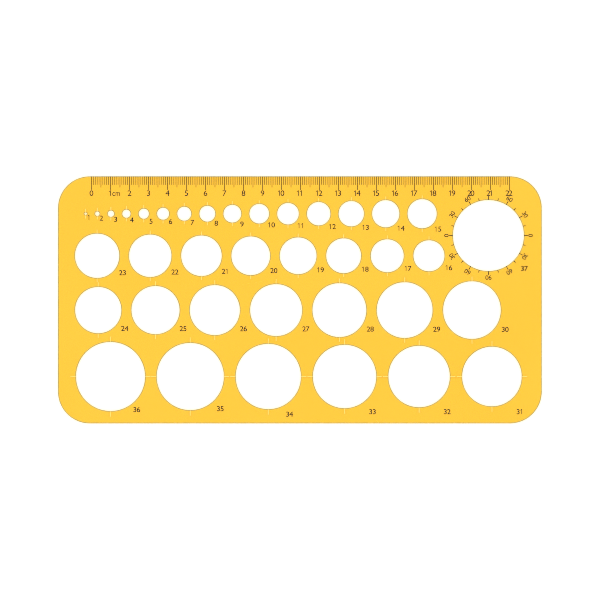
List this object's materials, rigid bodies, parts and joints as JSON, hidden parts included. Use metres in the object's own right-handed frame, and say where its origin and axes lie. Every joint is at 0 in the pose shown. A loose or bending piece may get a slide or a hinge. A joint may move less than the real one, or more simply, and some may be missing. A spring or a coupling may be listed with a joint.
{
  "type": "circle template",
  "caption": "Thin translucent drawing sheet with rows of round holes for tracing circles, a ruler along one long edge, and an angle scale round its largest hole.",
  "frame": {"origin": "under the middle of the sheet, on the plane it lies on", "axes": "+X along the ruler, in the direction of rising numbers; +Y towards the ruler edge; +Z out of the printed face"},
  "size_m": [0.2546, 0.13, 0.0012],
  "materials": {
    "amber_plastic": "polished, translucent amber",
    "printed_ink": "screen-printed dark brown ink, satin",
    "engraved_mark": "pale engraved line in the sheet, satin"
  },
  "bodies": {
    "root": {"template_sheet": "amber_plastic"}
  },
  "joints": []
}
